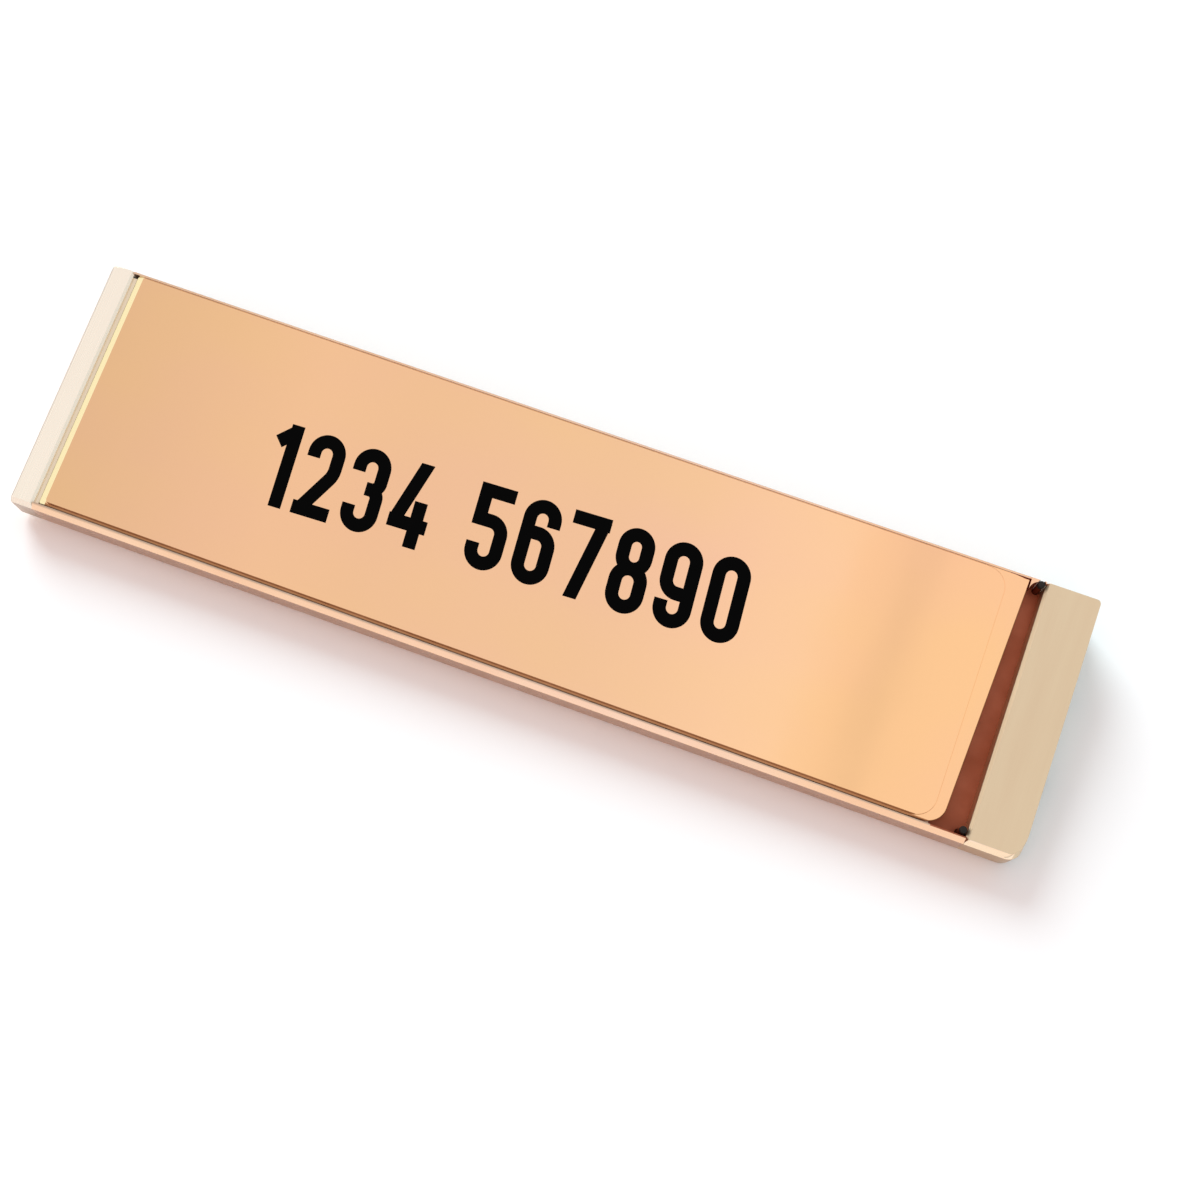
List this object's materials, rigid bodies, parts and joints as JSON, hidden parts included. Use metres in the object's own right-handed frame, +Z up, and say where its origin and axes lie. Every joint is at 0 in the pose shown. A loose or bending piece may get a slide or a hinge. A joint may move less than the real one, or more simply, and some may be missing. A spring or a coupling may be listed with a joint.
{
  "type": "desk name plate",
  "caption": "Low wedge desk name plate: a polished insert held by magnets in a metal tray between two end pieces, with a finger gap to lift it out.",
  "frame": {"origin": "under the middle of the plate, on the surface it stands on", "axes": "+X along the plate towards the broad end block, +Y to the rear, where the face is highest, +Z up"},
  "size_m": [0.2044, 0.0514, 0.0133],
  "materials": {
    "mirror_rose_gold": "mirror-polished rose gold, thin bevelled edges",
    "rose_gold_plating": "polished rose gold plating on cast aluminium",
    "pale_gold_polish": "polished pale gold, almost cream",
    "satin_gold": "satin brushed champagne gold",
    "sheet_steel": "plain zinc-plated sheet steel",
    "nickel": "bright nickel plating",
    "black_steel": "black oxide",
    "black_felt": "short dense felt",
    "black_rubber": "matt black rubber"
  },
  "bodies": {
    "holder": {"holder_body": "rose_gold_plating", "left_end_cap": "pale_gold_polish", "right_end_block": "satin_gold", "felt_strip_front": "black_felt", "felt_strip_rear": "black_felt", "magnet_1": "nickel", "magnet_2": "nickel", "magnet_3": "nickel", "magnet_4": "nickel", "gap_plug_front": "black_rubber", "gap_plug_rear": "black_rubber", "base_plate": "sheet_steel", "base_screw_front_left": "black_steel", "base_screw_front_right": "black_steel", "base_screw_rear_left": "black_steel", "base_screw_rear_right": "black_steel", "left_cap_screw_front": "nickel", "left_cap_screw_rear": "nickel", "right_block_screw_front": "nickel", "right_block_screw_rear": "nickel", "foot_front_left": "black_rubber", "foot_front_right": "black_rubber", "foot_rear_left": "black_rubber", "foot_rear_right": "black_rubber"},
    "insert": {"name_insert": "mirror_rose_gold", "name_facing": "mirror_rose_gold", "insert_backing": "sheet_steel"}
  },
  "joints": [
    {"name": "insert_lift", "type": "slide", "parent": "holder", "child": "insert", "axis": [0, -0.1045, 0.9945], "range_m": [0, 0.03]}
  ]
}
